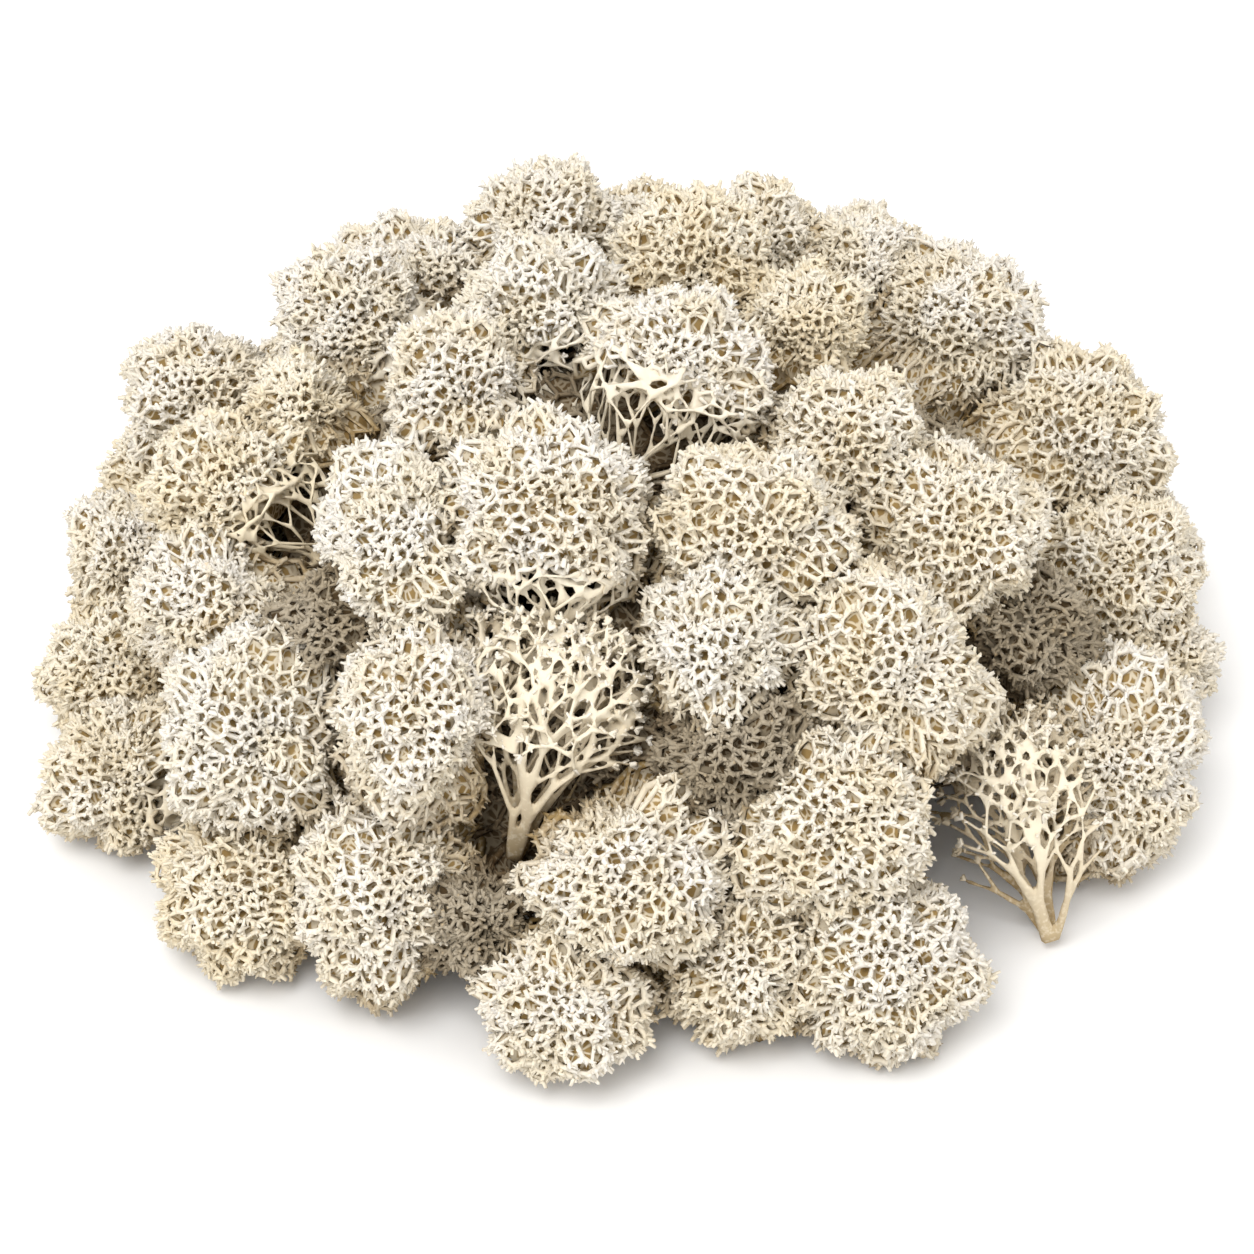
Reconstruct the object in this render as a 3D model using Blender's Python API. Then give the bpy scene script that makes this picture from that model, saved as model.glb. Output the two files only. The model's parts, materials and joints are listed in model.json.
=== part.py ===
"""Reindeer moss clump: a loose heap of dried reindeer lichen tufts that lies on a flat surface.

Each tuft is a rounded cushion of fine branches. Its solid is a closed core with a pointed branch
tip on every facet that shows. Two tufts are open fans, whose branches are bare from the foot to
the tips. Neighbours press against each other in flat seats, a hair apart.

Run with: blender --background --python part.py
"""

import math
import random
from collections import namedtuple

import bmesh
import bpy
from mathutils import Matrix, Vector

MM = 0.001

# The dome that the middles of the tufts lie on. Bearings run from the front, -Y, towards the right
DOME_HALF_WIDTH = 100 * MM
DOME_HALF_DEPTH = 93 * MM
DOME_RISE = 72 * MM
SEAT_HEIGHT = 13 * MM

# Half of the gap between two tufts that press against each other, and how far apart two cushions
# may lie and still be pressed together
HALF_GAP = 0.16 * MM
REACH_ACROSS = 2 * MM

# A direction this close to square to a plane's normal runs along it
LEVEL = 1e-6

# A tuft's cushion, in shares of its radius: a ball, lobes that stand a little proud of it, and a
# root that reaches into the heap
BALL_SHARE = 1.04
LOBE_SHARE = 0.6
LOBE_REACH = 1.17
LOBES = 8
ROOT_SHARE = 1.05
ROOT_DEPTH = 1.0

# One branch tip stands on each facet of a core: the cushion's area for one tip, and the core's
# radius and the least height of a tip as shares of the cushion's and the core's radius. A tuft is
# pressed where a seat lies within a share of the cushion's radius.
TIP_AREA = 36 * MM * MM
HIDDEN_TIP_AREA = 64 * MM * MM
CORE_SHARE = 0.74
LEAST_TIP_SHARE = 0.1
PRESSED_SHARE = 1.06
TIP_SCATTER = 0.2

# The bare limbs of an open fan. Each level gives its forks, how far they spread in degrees, and
# how far out they end as a share of the way from the foot to the cushion's surface
FAN_LEVELS = ((1, 0, 0.2), (3, 26, 0.45), (3, 16, 0.72), (3, 9, 1))
FAN_STEM_RADIUS = 1.9 * MM
FAN_TAPER = 0.78
FAN_TIP_CLEARANCE = 0.7 * MM
FAN_TUCK = 0.15
LIMB_SIDES = 4
LIMB_SINK = 0.8
LENGTH_STEP = 0.01 * MM

Tint = namedtuple("Tint", "colour roughness")
TINTS = {
    "lichen_white": Tint((0.86, 0.84, 0.78, 1), 0.95),
    "lichen_cream": Tint((0.84, 0.79, 0.68, 1), 0.95),
    "lichen_straw": Tint((0.80, 0.72, 0.54, 1), 0.95),
    "lichen_grey": Tint((0.76, 0.75, 0.70, 1), 0.95),
    "lichen_shade": Tint((0.62, 0.55, 0.42, 1), 0.95),
}

# Bearing and rise are in degrees and radius is in millimetres. Out is the distance from the dome's
# middle as a share of the dome. Across and up are how far, in millimetres, a long tuft's two end
# balls lie from its middle, across the slope and up it.
Tuft = namedtuple("Tuft", "name bearing rise radius out tint across up", defaults=(0, 0))

TUFTS = [
    # The crown
    Tuft("crown_tuft_front", -18, 62, 18, 1.04, "lichen_white"),
    Tuft("crown_tuft_left", -76, 71, 14, 1.00, "lichen_white"),
    Tuft("crown_tuft_middle", 44, 83, 16, 1.03, "lichen_white"),
    Tuft("crown_tuft_right", 65, 63, 14, 1.00, "lichen_cream"),
    Tuft("crown_tuft_back_left", -128, 78, 16, 1.00, "lichen_grey"),
    Tuft("crown_tuft_back_right", 116, 67, 12, 1.00, "lichen_straw"),
    Tuft("crown_tuft_back", 162, 66, 15, 1.00, "lichen_straw"),
    # The shoulder
    Tuft("shoulder_tuft_front_left", -41, 52, 14, 1.00, "lichen_grey", 7, -5),
    Tuft("shoulder_tuft_front", 13, 46, 13, 1.02, "lichen_grey"),
    Tuft("shoulder_tuft_front_right", 25, 58, 17, 1.00, "lichen_cream"),
    Tuft("shoulder_tuft_right_low", 36, 37, 14, 1.01, "lichen_cream", 4, -8),
    Tuft("shoulder_tuft_right", 62, 46, 16, 1.00, "lichen_cream"),
    Tuft("shoulder_tuft_left", -93, 51, 10, 1.00, "lichen_straw"),
    Tuft("shoulder_tuft_back_left", -126, 47, 15, 1.00, "lichen_white"),
    Tuft("shoulder_tuft_back_small", -148, 45, 8, 1.03, "lichen_white"),
    Tuft("shoulder_tuft_back", -167, 49, 15, 1.05, "lichen_white"),
    Tuft("shoulder_tuft_back_right", 156, 47, 12, 1.05, "lichen_cream"),
    Tuft("shoulder_tuft_back_far_right", 141, 43, 11, 1.07, "lichen_white"),
    # The flank
    Tuft("flank_fan_front", -10, 31, 16, 1.02, "lichen_white", 5, 10),
    Tuft("flank_tuft_front_deep", 14, 31, 14, 0.96, "lichen_shade"),
    Tuft("flank_tuft_front_low", -1, 16, 18, 1.00, "lichen_white"),
    Tuft("flank_tuft_front_left", -25, 34, 16, 1.02, "lichen_white"),
    Tuft("flank_tuft_front_right", 23, 20, 17, 1.01, "lichen_cream"),
    Tuft("flank_tuft_left_low", -47, 22, 15, 1.02, "lichen_grey", 3, -6),
    Tuft("flank_tuft_left_deep", -46, 40, 10, 0.98, "lichen_shade"),
    Tuft("flank_tuft_left", -66, 30, 14, 1.00, "lichen_white"),
    Tuft("flank_tuft_left_high", -81, 40, 16, 1.00, "lichen_straw"),
    Tuft("flank_tuft_back_left", -112, 28, 15, 1.06, "lichen_white"),
    Tuft("flank_tuft_right_deep", 63, 27, 13, 0.94, "lichen_shade"),
    Tuft("flank_tuft_right", 88, 14, 17, 1.00, "lichen_cream"),
    Tuft("flank_tuft_back_right", 107, 24, 17, 1.05, "lichen_cream"),
    Tuft("flank_tuft_back_far_right", 126, 37, 16, 1.05, "lichen_white"),
    # The foot of the heap
    Tuft("foot_tuft_front_left", -27, 6, 15, 1.00, "lichen_white", -1, 6),
    Tuft("foot_tuft_front_small", -15, 7, 11, 1.00, "lichen_shade"),
    Tuft("foot_tuft_front", -6, 0, 14, 1.12, "lichen_white"),
    Tuft("foot_tuft_front_right", 13, 0, 15, 1.02, "lichen_cream"),
    Tuft("foot_tuft_right_net", 25, 0, 17, 1.09, "lichen_white"),
    Tuft("foot_fan_right", 48, 7, 14, 1.02, "lichen_white", 3, 12),
    Tuft("foot_tuft_right", 62, 5, 15, 1.05, "lichen_white", -7, -6),
    Tuft("foot_tuft_far_right", 84, 3, 11, 1.08, "lichen_cream"),
    Tuft("foot_tuft_left", -42, 0, 16, 1.05, "lichen_straw"),
    Tuft("foot_tuft_far_left", -65, 0, 14, 1.07, "lichen_cream"),
    Tuft("foot_tuft_left_straw", -82, 2, 14, 1.03, "lichen_straw"),
    Tuft("foot_tuft_left_fringe", -95, 13, 12, 1.03, "lichen_white"),
    # Behind, at the foot and above it
    Tuft("back_foot_tuft_right", 106, 0, 20, 1.02, "lichen_cream"),
    Tuft("back_foot_tuft_far_right", 128, 0, 20, 1.02, "lichen_white"),
    Tuft("back_foot_tuft_middle_right", 151, 0, 20, 1.02, "lichen_grey"),
    Tuft("back_foot_tuft_middle", 174, 0, 20, 1.02, "lichen_white"),
    Tuft("back_foot_tuft_middle_left", -163, 0, 20, 1.02, "lichen_cream"),
    Tuft("back_foot_tuft_far_left", -140, 0, 20, 1.02, "lichen_white"),
    Tuft("back_foot_tuft_left", -117, 0, 20, 1.02, "lichen_straw"),
    Tuft("back_tuft_right", 150, 24, 19, 1.02, "lichen_white"),
    Tuft("back_tuft_middle", 178, 24, 19, 1.02, "lichen_cream"),
    Tuft("back_tuft_left", -150, 22, 19, 1.02, "lichen_white"),
    # Inside, where the rest lies on it
    Tuft("inner_tuft_left", -85, 22, 34, 0.49, "lichen_shade"),
    Tuft("inner_tuft_right", 85, 22, 34, 0.49, "lichen_shade"),
    Tuft("inner_tuft_back", 180, 23, 34, 0.47, "lichen_shade"),
    Tuft("inner_tuft_front", 0, 20, 34, 0.50, "lichen_shade"),
    Tuft("inner_tuft_high", 90, 88, 28, 0.64, "lichen_shade"),
]


def slope_frame(tuft):
    """Outward, across and up directions on the dome at a tuft."""
    bearing = math.radians(tuft.bearing)
    rise = math.radians(tuft.rise)
    outward = Vector((math.sin(bearing), -math.cos(bearing), 0))
    across = Vector((math.cos(bearing), math.sin(bearing), 0))
    up = Vector((0, 0, math.cos(rise))) - outward * math.sin(rise)
    out = outward * math.cos(rise) + Vector((0, 0, math.sin(rise)))
    return out, across, up


def tuft_middle(tuft):
    """Point on the dome, moved out by the tuft's share."""
    out = slope_frame(tuft)[0]
    half_sizes = Vector((DOME_HALF_WIDTH, DOME_HALF_DEPTH, DOME_RISE))
    place = Vector([tuft.out * size * part for size, part in zip(half_sizes, out)])
    return place + Vector((0, 0, SEAT_HEIGHT))


def cushion_balls(tuft, rng):
    """Balls whose union is the tuft's cushion: each a centre, from the tuft's middle, and a radius."""
    out, across, up = slope_frame(tuft)
    radius = tuft.radius * MM
    reach = (across * tuft.across + up * tuft.up) * MM
    ends = [reach, -reach] if reach.length > 0 else [Vector((0, 0, 0))]
    balls = [(Vector((0, 0, 0)), BALL_SHARE * radius)]
    balls += [(end, BALL_SHARE * radius) for end in ends if end.length > 0]
    balls.append((-out * ROOT_DEPTH * radius, ROOT_SHARE * radius))
    for number in range(LOBES * len(ends)):
        way = Vector([rng.gauss(0, 1) for _ in range(3)]).normalized()
        centre = ends[number % len(ends)] + way * radius * (LOBE_REACH - LOBE_SHARE)
        balls.append((centre, LOBE_SHARE * radius))
    return balls


def cushion_length(balls, way):
    """Distance from the tuft's middle to the cushion's surface along a direction."""
    longest = 0
    for centre, radius in balls:
        along = centre.dot(way)
        inside = along * along - centre.length_squared + radius * radius
        if inside > 0:
            longest = max(longest, along + math.sqrt(inside))
    return longest


def cushion_extent(balls, way):
    """How far the cushion reaches from the tuft's middle towards a direction."""
    return max(centre.dot(way) + radius for centre, radius in balls)


def seat_planes(middles, cushions):
    """For each tuft, the planes that part it from its neighbours and the ground: way and distance."""
    planes = [[(Vector((0, 0, -1)), middle.z)] for middle in middles]
    for first in range(len(middles)):
        for second in range(first + 1, len(middles)):
            apart = middles[second] - middles[first]
            way = apart.normalized()
            first_extent = cushion_extent(cushions[first], way)
            second_extent = cushion_extent(cushions[second], -way)
            if first_extent + second_extent > apart.length - REACH_ACROSS:
                share = (apart.length + first_extent - second_extent) / 2
                planes[first].append((way, share - HALF_GAP))
                planes[second].append((-way, apart.length - share - HALF_GAP))
    return planes


def seat_length(planes, way):
    """Distance from the tuft's middle to the nearest seat along a direction."""
    lengths = [distance / way.dot(normal) for normal, distance in planes if way.dot(normal) > LEVEL]
    return min(lengths, default=math.inf)


def even_ways(count, rng):
    """Directions spread evenly over a ball, each moved a little at random."""
    golden_turn = math.pi * (3 - math.sqrt(5))
    spacing = math.sqrt(4 * math.pi / count)
    ways = []
    for number in range(count):
        height = 1 - (2 * number + 1) / count
        ring = math.sqrt(1 - height * height)
        turn = golden_turn * number
        way = Vector((ring * math.cos(turn), ring * math.sin(turn), height))
        way += Vector([rng.uniform(-1, 1) for _ in range(3)]) * spacing * TIP_SCATTER
        ways.append(way.normalized())
    return ways


def tuft_solid(tuft, balls, planes, rng):
    """The tuft's core, with a branch tip on each facet that isn't pressed against something."""
    tip_area = HIDDEN_TIP_AREA if tuft.name.startswith("inner") else TIP_AREA
    size = tuft.radius + math.hypot(tuft.across, tuft.up) / 2
    facets = 4 * math.pi * (size * MM) ** 2 / tip_area
    corners = round(facets / 2)
    solid = bmesh.new()
    for way in even_ways(corners, rng):
        solid.verts.new(way)
    bmesh.ops.convex_hull(solid, input=solid.verts)
    for vert in solid.verts:
        way = vert.co.normalized()
        cushion = cushion_length(balls, way)
        seat = seat_length(planes, way)
        vert.co = way * (seat if seat <= cushion * PRESSED_SHARE else min(seat, CORE_SHARE * cushion))
    tips = []
    for face in solid.faces:
        middle = face.calc_center_median()
        way = middle.normalized()
        tip = way * min(cushion_length(balls, way), seat_length(planes, way))
        if tip.length > middle.length * (1 + LEAST_TIP_SHARE):
            tips.append((face, tip))
    poked = bmesh.ops.poke(solid, faces=[face for face, tip in tips])
    for vert, (face, tip) in zip(poked["verts"], tips):
        vert.co = tip
    return solid


def open_length(start, way, balls, planes):
    """Distance from a point to where a direction leaves the tuft's cushion or meets a seat."""
    near = 0
    far = 2 * max(centre.length + radius for centre, radius in balls)
    while far - near > LENGTH_STEP:
        length = (near + far) / 2
        point = start + way * length
        inside = point.normalized()
        if point.length < min(cushion_length(balls, inside), seat_length(planes, inside)):
            near = length
        else:
            far = length
    return near


def fan_limbs(tuft, balls, planes, rng):
    """A fan's limbs, forked from its foot out to its tips: each its start, end and two radii."""
    out, across, up = slope_frame(tuft)
    reach = (across * tuft.across + up * tuft.up) * MM
    planes = [(normal, distance - FAN_TIP_CLEARANCE) for normal, distance in planes]
    foot_way = (-reach - out * FAN_TUCK * tuft.radius * MM).normalized()
    foot = foot_way * (open_length(Vector((0, 0, 0)), foot_way, balls, planes) - FAN_STEM_RADIUS)
    growing = [(foot, -foot_way, FAN_STEM_RADIUS)]
    limbs = []
    for forks, spread, share in FAN_LEVELS:
        sprouted = []
        for start, way, radius in growing:
            side = way.orthogonal().normalized()
            phase = rng.uniform(0, math.tau)
            for fork in range(forks):
                turn = phase + math.tau * fork / forks
                lean = side * math.cos(turn) + way.cross(side) * math.sin(turn)
                angle = math.radians(spread * rng.uniform(0.85, 1.15))
                limb_way = way * math.cos(angle) + lean * math.sin(angle)
                length = share * rng.uniform(0.92, 1) * open_length(foot, limb_way, balls, planes)
                end = foot + limb_way * length
                thin = radius * FAN_TAPER
                limbs.append((start, end, radius, thin))
                sprouted.append((end, limb_way, thin))
        growing = sprouted
    return limbs


def new_object(name, mesh, tint):
    """Object of the given mesh in the scene, finished in one of the tints."""
    material = bpy.data.materials.get(tint)
    if material is None:
        material = bpy.data.materials.new(tint)
        material.use_nodes = True
        shader = material.node_tree.nodes["Principled BSDF"]
        shader.inputs["Base Color"].default_value = TINTS[tint].colour
        shader.inputs["Roughness"].default_value = TINTS[tint].roughness
        shader.inputs["Metallic"].default_value = 0
    mesh.materials.append(material)
    piece = bpy.data.objects.new(name, mesh)
    bpy.context.scene.collection.objects.link(piece)
    return piece


def make_tuft(tuft, middle, balls, planes, rng):
    """A closed tuft."""
    solid = tuft_solid(tuft, balls, planes, rng)
    bmesh.ops.translate(solid, verts=solid.verts, vec=middle)
    bmesh.ops.recalc_face_normals(solid, faces=solid.faces)
    mesh = bpy.data.meshes.new(tuft.name)
    solid.to_mesh(mesh)
    solid.free()
    return new_object(tuft.name, mesh, tuft.tint)


def limb_object(name, start, end, thick, thin):
    """One tapering limb, sunk a little way into the limb that it grows from."""
    way = (end - start).normalized()
    root = start - way * thick * LIMB_SINK
    solid = bmesh.new()
    bmesh.ops.create_cone(
        solid, cap_ends=True, segments=LIMB_SIDES, radius1=thick, radius2=thin,
        depth=(end - root).length, matrix=Matrix.Translation((root + end) / 2)
        @ way.to_track_quat("Z", "Y").to_matrix().to_4x4())
    mesh = bpy.data.meshes.new(name)
    solid.to_mesh(mesh)
    solid.free()
    return bpy.data.objects.new(name, mesh)


def make_fan(tuft, middle, balls, planes, rng):
    """An open fan of bare limbs, joined to each other in one body."""
    limbs = [
        limb_object(f"{tuft.name}_limb", middle + start, middle + end, thick, thin)
        for start, end, thick, thin in fan_limbs(tuft, balls, planes, rng)
    ]
    others = bpy.data.collections.new(f"{tuft.name}_limbs")
    bpy.context.scene.collection.children.link(others)
    for limb in limbs[1:]:
        others.objects.link(limb)
    fan = new_object(tuft.name, limbs[0].data, tuft.tint)
    union = fan.modifiers.new("Limbs joined", "BOOLEAN")
    union.operation = "UNION"
    union.operand_type = "COLLECTION"
    union.collection = others
    depsgraph = bpy.context.evaluated_depsgraph_get()
    joined = bpy.data.meshes.new_from_object(fan.evaluated_get(depsgraph))
    fan.modifiers.clear()
    fan.data = joined
    for limb in limbs:
        bpy.data.objects.remove(limb, do_unlink=True)
    bpy.data.collections.remove(others)
    return fan


def stand_on_origin(pieces):
    """Move all pieces so that the middle of their box's underside is the origin."""
    bpy.context.view_layer.update()
    corners = [piece.matrix_world @ Vector(corner) for piece in pieces for corner in piece.bound_box]
    lowest = Vector([min(corner[axis] for corner in corners) for axis in range(3)])
    highest = Vector([max(corner[axis] for corner in corners) for axis in range(3)])
    shift = Vector((-(lowest.x + highest.x) / 2, -(lowest.y + highest.y) / 2, -lowest.z))
    for piece in pieces:
        for vertex in piece.data.vertices:
            vertex.co += shift


def main():
    for old in list(bpy.data.objects):
        bpy.data.objects.remove(old, do_unlink=True)
    draws = [random.Random(number) for number in range(len(TUFTS))]
    middles = [tuft_middle(tuft) for tuft in TUFTS]
    cushions = [cushion_balls(*row) for row in zip(TUFTS, draws)]
    planes = seat_planes(middles, cushions)
    pieces = []
    for row in zip(TUFTS, middles, cushions, planes, draws):
        make = make_fan if "_fan_" in row[0].name else make_tuft
        pieces.append(make(*row))
    stand_on_origin(pieces)


main()
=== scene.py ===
# %% [markdown]
# # A heap of reindeer moss
# The object is a heap of dried reindeer moss, which is a lichen: nearly sixty round heads pressed
# together. The frame holds one plain faceted solid for each head. This lesson grows the real
# tissue over each solid: a net of pale strands with rounded holes, set with thousands of short
# tips. A head is built from the solid that it replaces, so it can't drift from it.

import json
import math
import random
from collections import namedtuple

import bmesh
import bpy
import numpy as np
from mathutils import Matrix, Vector, kdtree
from mathutils.bvhtree import BVHTree

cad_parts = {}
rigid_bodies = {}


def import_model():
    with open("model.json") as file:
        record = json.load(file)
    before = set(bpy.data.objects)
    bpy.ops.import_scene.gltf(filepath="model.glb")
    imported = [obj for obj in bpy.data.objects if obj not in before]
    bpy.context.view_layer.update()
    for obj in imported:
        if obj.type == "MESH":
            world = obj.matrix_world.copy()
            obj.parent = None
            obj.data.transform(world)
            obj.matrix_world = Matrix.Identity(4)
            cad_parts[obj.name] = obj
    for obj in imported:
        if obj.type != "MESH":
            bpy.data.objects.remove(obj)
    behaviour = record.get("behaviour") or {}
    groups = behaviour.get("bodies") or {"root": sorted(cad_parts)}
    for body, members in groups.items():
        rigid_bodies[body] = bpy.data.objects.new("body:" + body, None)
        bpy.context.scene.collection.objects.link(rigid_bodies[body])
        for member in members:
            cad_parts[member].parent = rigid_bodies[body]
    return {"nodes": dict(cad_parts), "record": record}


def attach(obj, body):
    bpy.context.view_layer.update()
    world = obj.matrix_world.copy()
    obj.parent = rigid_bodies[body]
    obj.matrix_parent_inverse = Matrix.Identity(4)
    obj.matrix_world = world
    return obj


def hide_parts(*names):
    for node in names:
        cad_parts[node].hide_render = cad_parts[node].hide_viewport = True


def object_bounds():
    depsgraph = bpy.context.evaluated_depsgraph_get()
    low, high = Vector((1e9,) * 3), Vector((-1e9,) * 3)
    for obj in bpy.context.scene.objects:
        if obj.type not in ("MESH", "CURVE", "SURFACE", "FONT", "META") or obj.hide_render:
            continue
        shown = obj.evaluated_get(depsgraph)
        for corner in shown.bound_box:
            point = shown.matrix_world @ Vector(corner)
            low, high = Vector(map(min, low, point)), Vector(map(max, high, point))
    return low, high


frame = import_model()
cad_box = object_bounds()
nodes = frame["nodes"]
print("heads in the frame:", len(nodes))

# %% [markdown]
# ## Sizes
# All sizes are metres, and MM keeps them readable. The strands and tips follow the photograph,
# where a pixel on the heap is about 0.2 mm. The holes are a little wider than there, which keeps
# the number of faces down. Each size stands in the cell that first needs it.

# %% One millimetre
MM = 0.001
print("heap in mm:", [round((high - low) / MM) for low, high in zip(*cad_box)])

# %% [markdown]
# ## Camera
# The photograph looks down at the heap from about forty degrees. A short lens close by would show
# the near heads much larger than the far ones. In the photograph they are nearly alike, so a long
# lens stands well back here.

# %% Camera
CAMERA_RISE = math.radians(40)
CAMERA_DISTANCE = 0.700
CAMERA_AIM = Vector((-0.69, 1.57, 16.4)) * MM
IMAGE_SIZE = 1254
FOCAL_PIXELS = 3500
SENSOR = 36.0

camera_data = bpy.data.cameras.new("camera")
camera_data.sensor_width = SENSOR
camera_data.lens = FOCAL_PIXELS / IMAGE_SIZE * SENSOR
camera = bpy.data.objects.new("camera", camera_data)
bpy.context.scene.collection.objects.link(camera)
to_camera = Vector((0, -math.cos(CAMERA_RISE), math.sin(CAMERA_RISE)))
camera.location = CAMERA_AIM + to_camera * CAMERA_DISTANCE
camera.rotation_euler = (-to_camera).to_track_quat("-Z", "Y").to_euler()
bpy.context.scene.camera = camera
print("camera at", [round(c, 3) for c in camera.location])

# %% [markdown]
# ## Floor and light
# The heap lies on plain white ground in an even light. Several lamps could give that, but each
# would add its own shadow. A white surround lights all sides at once, and one large lamp above
# adds a soft and faint shadow.

# %% Floor
FLOOR_SIZE = 3.0
FLOOR_COLOR = (0.875, 0.87, 0.862)
MATT = 0.9                  # roughness of the floor and of the lichen


def plain_material(name, color, roughness):
    material = bpy.data.materials.new(name)
    material.use_nodes = True
    surface = material.node_tree.nodes["Principled BSDF"]
    surface.inputs["Base Color"].default_value = (*color, 1)
    surface.inputs["Roughness"].default_value = roughness
    return material


bm = bmesh.new()
bmesh.ops.create_grid(bm, x_segments=1, y_segments=1, size=FLOOR_SIZE)
floor_mesh = bpy.data.meshes.new("floor")
bm.to_mesh(floor_mesh)
bm.free()
floor = bpy.data.objects.new("floor", floor_mesh)
bpy.context.scene.collection.objects.link(floor)
floor_mesh.materials.append(plain_material("white_floor", FLOOR_COLOR, MATT))
print("floor faces:", len(floor_mesh.polygons))

# %% Light
SURROUND_STRENGTH = 1.14
LAMP_POWER = 14.0
LAMP_SIZE = 0.8
LAMP_PLACE = Vector((-0.35, -0.75, 1.35))
LAMP_AIM = Vector((0, 0, 0.03))

world = bpy.data.worlds.new("white_surround")
bpy.context.scene.world = world
world.use_nodes = True
surround = world.node_tree.nodes["Background"].inputs
surround["Color"].default_value = (1.0, 1.0, 1.0, 1)
surround["Strength"].default_value = SURROUND_STRENGTH

lamp_data = bpy.data.lights.new("soft_key", "AREA")
lamp_data.energy = LAMP_POWER
lamp_data.size = LAMP_SIZE
lamp = bpy.data.objects.new("soft_key", lamp_data)
bpy.context.scene.collection.objects.link(lamp)
lamp.location = LAMP_PLACE
lamp.rotation_euler = (LAMP_AIM - LAMP_PLACE).to_track_quat("-Z", "Y").to_euler()
bpy.context.scene.view_settings.view_transform = "Standard"
print("surround and lamp:", world.name, lamp.name)

# %% [markdown]
# ## The tissue's colour
# Dried reindeer moss is chalky white at its outer tips and turns cream, tan and brown inwards.
# Part of that brown is painted shade: the colour darkens where the heap hides the sky from a
# place, and turns a warmer cream where it shelters it. Noise alone could colour it, but then the
# brown would lie anywhere.
# So every piece carries an attribute, "tissue", worked out with its shape. Red says how open the
# place is, green how aged it is, blue is chance for each tip, and alpha is 0 on inner surfaces.
# One node group turns these and some noise into a colour, and each tint has its own values.


# %% Node helpers
def add_mix(group, factor, first, second):
    mix = group.nodes.new("ShaderNodeMix")
    mix.data_type = "RGBA"
    group.links.new(factor, mix.inputs["Factor"])
    group.links.new(first, mix.inputs["A"])
    group.links.new(second, mix.inputs["B"])
    return mix.outputs["Result"]


def add_range(group, value, low, high, to_low=0.0, to_high=1.0):
    node = group.nodes.new("ShaderNodeMapRange")
    group.links.new(value, node.inputs["Value"])
    node.inputs["From Min"].default_value = low
    node.inputs["From Max"].default_value = high
    node.inputs["To Min"].default_value = to_low
    node.inputs["To Max"].default_value = to_high
    return node.outputs["Result"]


def add_noise(group, place, size, detail):
    node = group.nodes.new("ShaderNodeTexNoise")
    group.links.new(place, node.inputs["Vector"])
    node.inputs["Scale"].default_value = 1 / size
    node.inputs["Detail"].default_value = detail
    return node.outputs


COLORS = ("Fresh", "AgedAndShade", "BrownAndShade", "Stain")
tissue = bpy.data.node_groups.new("lichen_tissue", "ShaderNodeTree")
for color_name in COLORS:
    tissue.interface.new_socket(color_name, in_out="INPUT", socket_type="NodeSocketColor")
tissue.interface.new_socket("Color", in_out="OUTPUT", socket_type="NodeSocketColor")
given = tissue.nodes.new("NodeGroupInput").outputs
place = tissue.nodes.new("ShaderNodeTexCoord").outputs["Object"]
attribute = tissue.nodes.new("ShaderNodeAttribute")
attribute.attribute_name = "tissue"
parts = tissue.nodes.new("ShaderNodeSeparateColor")
tissue.links.new(attribute.outputs["Color"], parts.inputs["Color"])
openness = parts.outputs["Red"]
print("colours that the group takes:", ", ".join(COLORS))

# %% Colour of the outer tissue
MOTTLE = 9 * MM             # size of the cream patches
GRAIN = 0.9 * MM            # size of the small worn spots

mottle = add_noise(tissue, place, MOTTLE, 0.0)["Fac"]
grain = add_noise(tissue, place, GRAIN, 1.0)["Fac"]
mottled = add_range(tissue, mottle, 0.38, 0.66, to_high=0.75)
young = add_mix(tissue, mottled, given["Fresh"], given["AgedAndShade"])
outer = add_mix(tissue, parts.outputs["Green"], young, given["AgedAndShade"])
# painted shade: the less open a place is, the more it takes the warm aged cream
warm_shade_amount = add_range(tissue, openness, 0.12, 0.6, to_low=0.8, to_high=0.0)
warm_shaded = add_mix(tissue, warm_shade_amount, outer, given["AgedAndShade"])
# painted shade: where little of the sky is open, the colour darkens to deep brown
depth = add_range(tissue, openness, 0.02, 0.30)
shade_darkened = add_mix(tissue, depth, given["BrownAndShade"], warm_shaded)
blotch = add_range(tissue, grain, 0.50, 0.74, to_high=0.55)
worn = add_mix(tissue, blotch, shade_darkened, given["AgedAndShade"])
browned = add_range(tissue, parts.outputs["Blue"], 0.86, 1.0, to_high=0.8)
tip_color = add_mix(tissue, browned, worn, given["Stain"])
print("nodes for the outer tissue:", len(tissue.nodes))

# %% [markdown]
# ## Threads in the depth
# Through the holes of the tissue, finer and darker strands show. As geometry they would cost more
# faces than the tissue itself. They are always in the dim, so a drawn net is enough there: the
# edges of Voronoi cells, on places that some noise has shifted, because straight edges look cut.

# %% Threads on the inner surfaces
THREAD_CELL = 1.7 * MM
WANDER = 2.5 * MM           # size of the bends in a thread
WANDER_REACH = 1.4 * MM     # how far noise shifts a thread

shift = tissue.nodes.new("ShaderNodeVectorMath")
shift.operation = "MULTIPLY_ADD"
shift.inputs[1].default_value = (WANDER_REACH, WANDER_REACH, WANDER_REACH)
tissue.links.new(add_noise(tissue, place, WANDER, 0.0)["Color"], shift.inputs[0])
tissue.links.new(place, shift.inputs[2])
cells = tissue.nodes.new("ShaderNodeTexVoronoi")
cells.feature = "DISTANCE_TO_EDGE"
cells.inputs["Scale"].default_value = 1 / THREAD_CELL
tissue.links.new(shift.outputs["Vector"], cells.inputs["Vector"])
thread = add_range(tissue, cells.outputs["Distance"], 0.07, 0.17, to_low=0.85, to_high=0.0)
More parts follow.
